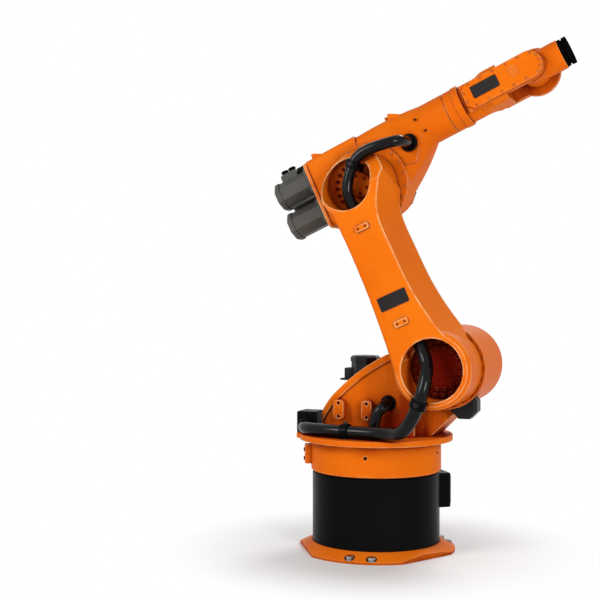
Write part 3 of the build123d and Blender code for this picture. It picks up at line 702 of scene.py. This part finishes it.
for name, (node, width, bodies) in hoseSpec.items():
    points = hoseRoutes[name]
    piece = hoseCurve(name, points, hoseRun[width])
    if isinstance(bodies, str):
        piece.data.materials.append(paints["hoseRubber"])
        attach(piece, bodies)
    else:
        bpy.context.view_layer.update()
        mesh = bpy.data.meshes.new_from_object(piece.evaluated_get(bpy.context.evaluated_depsgraph_get()))
        curve = piece.data
        bpy.data.objects.remove(piece)
        bpy.data.curves.remove(curve)
        mesh.name = name
        mesh.polygons.foreach_set("use_smooth", [True] * len(mesh.polygons))
        mesh.materials.clear()
        mesh.materials.append(paints["hoseRubber"])
        piece = bpy.data.objects.new(name, mesh)
        bpy.context.scene.collection.objects.link(piece)
        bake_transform(piece)
    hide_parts(node)
print("hoses laid:", len(hoseSpec))


# clamps, glands and plugs

def lookAlong(place, way):
    return Matrix.Translation(place) @ way.to_track_quat("Z", "Y").to_matrix().to_4x4()


clampBolts = {"flats": 0.013, "height": 0.008, "washer": 0.011, "washerHeight": 0.002, "wall": 0.007}
clampShape = hexBolt(clampBolts["flats"], clampBolts["height"], clampBolts["washer"], clampBolts["washerHeight"])
near = Vector((0, -1, 0))
clampPlaces = {
    "deckClampBolts": (deckClamp, Vector((0, 0, 1)), hoseRun["radius"], "column"),
    "drumClampBolts": (drumClamp, near, hoseRun["radius"], "link"),
    "elbowClampBolts": (elbowClamp, near, hoseRun["thin"], "link"),
}
for name, (place, way, bore, body) in clampPlaces.items():
    spot = lookAlong(place + way * (bore + clampBolts["wall"] - sunk["plate"]), way)
    scatter(name, clampShape, [spot], "blackSteel", body)


def gland(bore, reach, flange):
    nut = 1 + (flange - 1) * 0.62
    return turned([
        (bore * flange, -sunk["head"]), (bore * flange, reach * 0.25), (bore * (flange * 0.95), reach * 0.32),
        (bore * nut, reach * 0.36, "hex"), (bore * nut, reach * 0.72, "hex"),
        (bore * (nut * 0.96), reach * 0.8), (bore * 1.06, reach), (bore * 0.99, reach * 0.98),
    ], 36)


glands = {
    "boxGland": {"place": Vector((hoseRun["boxMiddle"], -0.112, hoseRun["deckLine"])), "bore": hoseRun["radius"],
                 "reach": 0.030, "flange": 1.42, "body": "column"},
    # its wide black flange is partly a grommet, partly painted shade: a dark ring where the hole around the short hose
    # shows only shade
    "holeGrommetAndShade": {"place": Vector((hoseRun["holeAlong"], -0.1322, hoseRun["holeUp"])), "bore": hoseRun["thin"],
                    "reach": 0.007, "flange": 1.42, "body": "column"},
    "socketGland": {"place": onArm(hoseRun["socketAlong"], -0.1398, hoseRun["socketUp"]), "bore": hoseRun["thin"],
                    "reach": 0.0055, "flange": 1.6, "body": "arm"},
}
for name, spec in glands.items():
    shape = gland(spec["bore"], spec["reach"], spec["flange"])
    scatter(name, shape, [lookAlong(spec["place"], near)], "satinBlack", spec["body"])

plugShape = turned([  # collar, neck, then the cap with its hollow
    (0.0165, -sunk["head"]), (0.0165, 0.003), (0.0145, 0.0045), (0.0145, 0.007), (0.0175, 0.0085), (0.0175, 0.014),
    (0.016, 0.016), (0.0095, 0.016), (0.0085, 0.012),
], 28)
plugPlaces = {
    "nearUpperPlugs": [(-0.351, -0.065, 0.2345), (-0.314, -0.065, 0.2345)],
    "farUpperPlugs": [(-0.351, 0.065, 0.2345), (-0.314, 0.065, 0.2345)],
}
for name, places in plugPlaces.items():
    scatter(name, plugShape, [armFrame @ Matrix.Translation(place) for place in places], "satinBlack", "arm")
columnPlug = Matrix.Translation((-0.1635, 0.070, 0.685)) @ Matrix.Rotation(math.radians(-90), 4, "Y")
scatter("columnMotorPlug", plugShape, [columnPlug], "satinBlack", "column")

motorCaps = {"motors": ((-0.065, 0.145), (-0.065, 0.0), (0.065, 0.145)), "spread": 0.043, "inset": 0.7,
             "head": 0.0045, "height": 0.004, "face": -0.418}
motorSpots = []
for y, n in motorCaps["motors"]:
    for side in (-1, 1):
        for up in (-1, 1):
            place = (motorCaps["face"], y + side * motorCaps["spread"] * motorCaps["inset"],
                     n + up * motorCaps["spread"] * motorCaps["inset"])
            motorSpots.append(armFrame @ Matrix.Translation(place) @ rearWay)
scatter("motorCapScrews", socketScrew(motorCaps["head"], motorCaps["height"]), motorSpots, "blackSteel", "arm")

armScrews = {"points": ((0.296, 0.168), (0.318, 0.104)), "face": -0.0985, "head": 0.0052, "height": 0.0095}
armSpots = sideSpots(armFrame, armScrews["points"], armScrews["face"], nearWay)
scatter("armScrews", socketScrew(armScrews["head"], armScrews["height"]), armSpots, "rustySteel", "arm")

bracketLugs = {
    "rearLugs": {"across": 0.096, "width": 0.022,
                 "outline": ((-0.196, 0.218), (-0.194, 0.251), (-0.182, 0.250), (-0.146, 0.230), (-0.146, 0.218))},
    "frontLugs": {"across": 0.080, "width": 0.022,
                  "outline": ((0.186, 0.204), (0.188, 0.250), (0.200, 0.249), (0.238, 0.228), (0.238, 0.204))},
}
for name, spec in bracketLugs.items():
    spots = [armFrame @ Matrix.Translation((0, side * spec["across"], 0)) for side in (-1, 1)]
    scatter(name, softPrism(spec["outline"], spec["width"], 0.002), spots, "orangeEnamel", "arm")

motorSockets = {"size": (0.044, 0.050, 0.024), "places": ((-0.266, -0.065, 0.217), (-0.266, 0.065, 0.217))}
scatter("motorSockets", softBox(motorSockets["size"], 0.003),
        [armFrame @ Matrix.Translation(place) for place in motorSockets["places"]], "satinBlack", "arm")

cableLid = {"place": (-0.288, -0.060, 0.598), "size": (0.088, 0.098)}
scatter("cableBoxLid", roundedPlate(*cableLid["size"], 0.004, 0.007, 0.003),
        [Matrix.Translation(cableLid["place"])], "satinBlack", "column")
boxLid = {"angle": 37.0, "face": 0.326, "middle": 0.253, "size": (0.128, 0.130), "spread": (0.054, 0.055)}
boxTurn = Matrix.Rotation(math.radians(boxLid["angle"]), 4, "Z")
boxFrame = boxTurn @ Matrix.Translation((boxLid["face"], 0, boxLid["middle"]))
outWay = Matrix.Rotation(math.radians(90), 4, "Y")  # local z looks out of the box
scatter("connectionLid", roundedPlate(*reversed(boxLid["size"]), 0.004, 0.008, 0.003), [boxFrame @ outWay],
        "satinBlack", "base")
lidSpots = []
for side in (-1, 1):
    for up in (-1, 1):
        corner = Matrix.Translation((0.0022, side * boxLid["spread"][0], up * boxLid["spread"][1]))
        lidSpots.append(boxFrame @ corner @ outWay)
scatter("connectionLidScrews", buttonScrew(0.0045, 0.0035), lidSpots, "machinedSteel", "base")

terminals = {
    "columnTerminal": {"place": (-0.146, 0.070, 0.762), "size": (0.036, 0.062, 0.056)},
    "columnTab": {"place": (-0.170, 0.070, 0.738), "size": (0.036, 0.044, 0.009)},
}
for name, spec in terminals.items():
    scatter(name, softBox(spec["size"], 0.003), [Matrix.Translation(spec["place"])], "castBlack", "column")

bossScrews = {"angle": 205.0, "face": 0.316, "levels": (0.399, 0.437), "head": 0.0085, "height": 0.005}
bossTurn = Matrix.Rotation(math.radians(bossScrews["angle"]), 4, "Z")
bossSpots = [bossTurn @ Matrix.Translation((bossScrews["face"], 0, z)) @ outWay for z in bossScrews["levels"]]
bossShape = socketScrew(bossScrews["head"], bossScrews["height"])
scatter("skirtBossScrews", bossShape, bossSpots, "blackSteel", "column")
print("clamps, glands and plugs set")


# camera, light and floor

cameraSpec = {"place": (1.6577, -4.9426, 1.1438), "heading": 112.25, "tilt": -0.517, "lens": 70.44,
              "sensor": 36, "clip": 100}
cameraData = bpy.data.cameras.new("photoCamera")
cameraData.lens = cameraSpec["lens"]
cameraData.sensor_width = cameraSpec["sensor"]
cameraData.clip_end = cameraSpec["clip"]
camera = bpy.data.objects.new("photoCamera", cameraData)
bpy.context.scene.collection.objects.link(camera)
camera.location = cameraSpec["place"]
camera.rotation_euler = (math.radians(90 + cameraSpec["tilt"]), 0, math.radians(cameraSpec["heading"] - 90))
bpy.context.scene.camera = camera

lampAim = Vector((0.2, 0, 1.2))
lamps = {
    "keyLamp": {"place": (-2.8, -4.0, 3.4), "size": 2.4, "power": 150},
    "fillLamp": {"place": (4.0, -4.2, 2.0), "size": 2.0, "power": 165},
    "backLamp": {"place": (0.6, 4.2, 4.4), "size": 2.4, "power": 150},
}
for name, spec in lamps.items():
    data = bpy.data.lights.new(name, "AREA")
    data.shape = "DISK"
    data.size = spec["size"]
    data.energy = spec["power"]
    lamp = bpy.data.objects.new(name, data)
    bpy.context.scene.collection.objects.link(lamp)
    lamp.location = spec["place"]
    way = lampAim - Vector(spec["place"])
    lamp.rotation_euler = way.to_track_quat("-Z", "Y").to_euler()


def seenDirectly(tree):
    path = addNode(tree, "ShaderNodeLightPath")
    rays = mathNode(tree, "MAXIMUM", path.outputs["Is Camera Ray"], path.outputs["Is Glossy Ray"])
    return mathNode(tree, "MAXIMUM", rays, path.outputs["Is Transmission Ray"])


worldSpec = {"ambient": (0.29, 0.29, 0.29, 1.0)}
world = bpy.data.worlds.new("paleStudio")
bpy.context.scene.world = world
world.use_nodes = True
sky = world.node_tree
backdrop = sky.nodes["Background"]
backdrop.inputs["Strength"].default_value = 1.0
sky.links.new(mixColour(sky, worldSpec["ambient"], (1.0, 1.0, 1.0, 1.0), seenDirectly(sky)), backdrop.inputs["Color"])

floorSpec = {"half": 30.0, "tone": (0.86, 0.86, 0.86, 1.0), "roughness": 0.6, "near": 0.42, "far": 1.0}
half = floorSpec["half"]
floorMesh = bpy.data.meshes.new("studioFloor")
floorMesh.from_pydata([(-half, -half, 0), (half, -half, 0), (half, half, 0), (-half, half, 0)], [], [(0, 1, 2, 3)])
floor = bpy.data.objects.new("studioFloor", floorMesh)
bpy.context.scene.collection.objects.link(floor)
floorPaint = bpy.data.materials.new("paleFloor")
floorPaint.use_nodes = True
tree = floorPaint.node_tree
shader = tree.nodes["Principled BSDF"]
shader.inputs["Base Color"].default_value = floorSpec["tone"]
shader.inputs["Roughness"].default_value = floorSpec["roughness"]
glow = addNode(tree, "ShaderNodeEmission")
glow.inputs["Color"].default_value = (1.0, 1.0, 1.0, 1.0)
glow.inputs["Strength"].default_value = 1.0
place = addNode(tree, "ShaderNodeNewGeometry")
distance = addNode(tree, "ShaderNodeVectorMath", operation="LENGTH")
tree.links.new(place.outputs["Position"], distance.inputs[0])
fade = rangeNode(tree, distance.outputs["Value"], floorSpec["near"], floorSpec["far"])
mix = addNode(tree, "ShaderNodeMixShader")
tree.links.new(mathNode(tree, "MULTIPLY", fade, seenDirectly(tree)), mix.inputs[0])
tree.links.new(shader.outputs[0], mix.inputs[1])
tree.links.new(glow.outputs[0], mix.inputs[2])
tree.links.new(mix.outputs[0], tree.nodes["Material Output"].inputs["Surface"])
floorMesh.materials.append(floorPaint)
bpy.context.scene.view_settings.view_transform = "Standard"
print("camera, light and floor set")
